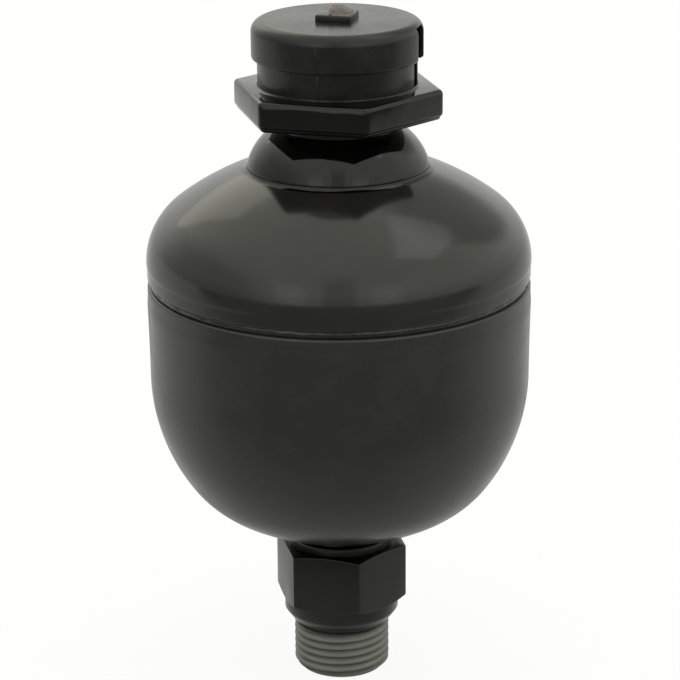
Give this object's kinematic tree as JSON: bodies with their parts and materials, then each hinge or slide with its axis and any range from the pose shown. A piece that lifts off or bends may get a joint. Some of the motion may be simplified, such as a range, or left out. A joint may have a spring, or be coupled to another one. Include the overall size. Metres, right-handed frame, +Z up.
{
  "type": "diaphragm accumulator",
  "caption": "Welded spherical pressure vessel with a rubber diaphragm inside, a hexagonal gas boss under a push-on cap, and a hexagonal port with a male thread.",
  "frame": {"origin": "centre of the lower end face of the port's threaded stud", "axes": "+Z up the vessel's axis, from the oil port to the gas boss; both hexagons have two corners on X; the cap's slot is on the +X side"},
  "size_m": [0.0706, 0.0706, 0.1284],
  "materials": {
    "upper_shell": "gloss",
    "lower_shell": "gloss",
    "seam_weld": "gloss",
    "gas_boss": "gloss",
    "boss_weld": "gloss",
    "port_fitting": "gloss",
    "port_weld": "gloss",
    "diaphragm": "matte",
    "closing_button": "satin",
    "retaining_ring": "satin",
    "charging_screw": "satin",
    "bonded_seal": "satin",
    "protective_cap": "satin"
  },
  "bodies": {
    "vessel": {"upper_shell": "upper_shell", "lower_shell": "lower_shell", "seam_weld": "seam_weld", "gas_boss": "gas_boss", "boss_weld": "boss_weld", "port_fitting": "port_fitting", "port_weld": "port_weld", "diaphragm": "diaphragm", "retaining_ring": "retaining_ring", "charging_screw": "charging_screw", "bonded_seal": "bonded_seal", "protective_cap": "protective_cap"},
    "button": {"closing_button": "closing_button"}
  },
  "joints": [
    {"name": "button_lift", "type": "slide", "parent": "vessel", "child": "button", "axis": [0, 0, 1], "range_m": [0, 0.056], "deforming": ["diaphragm"]}
  ]
}
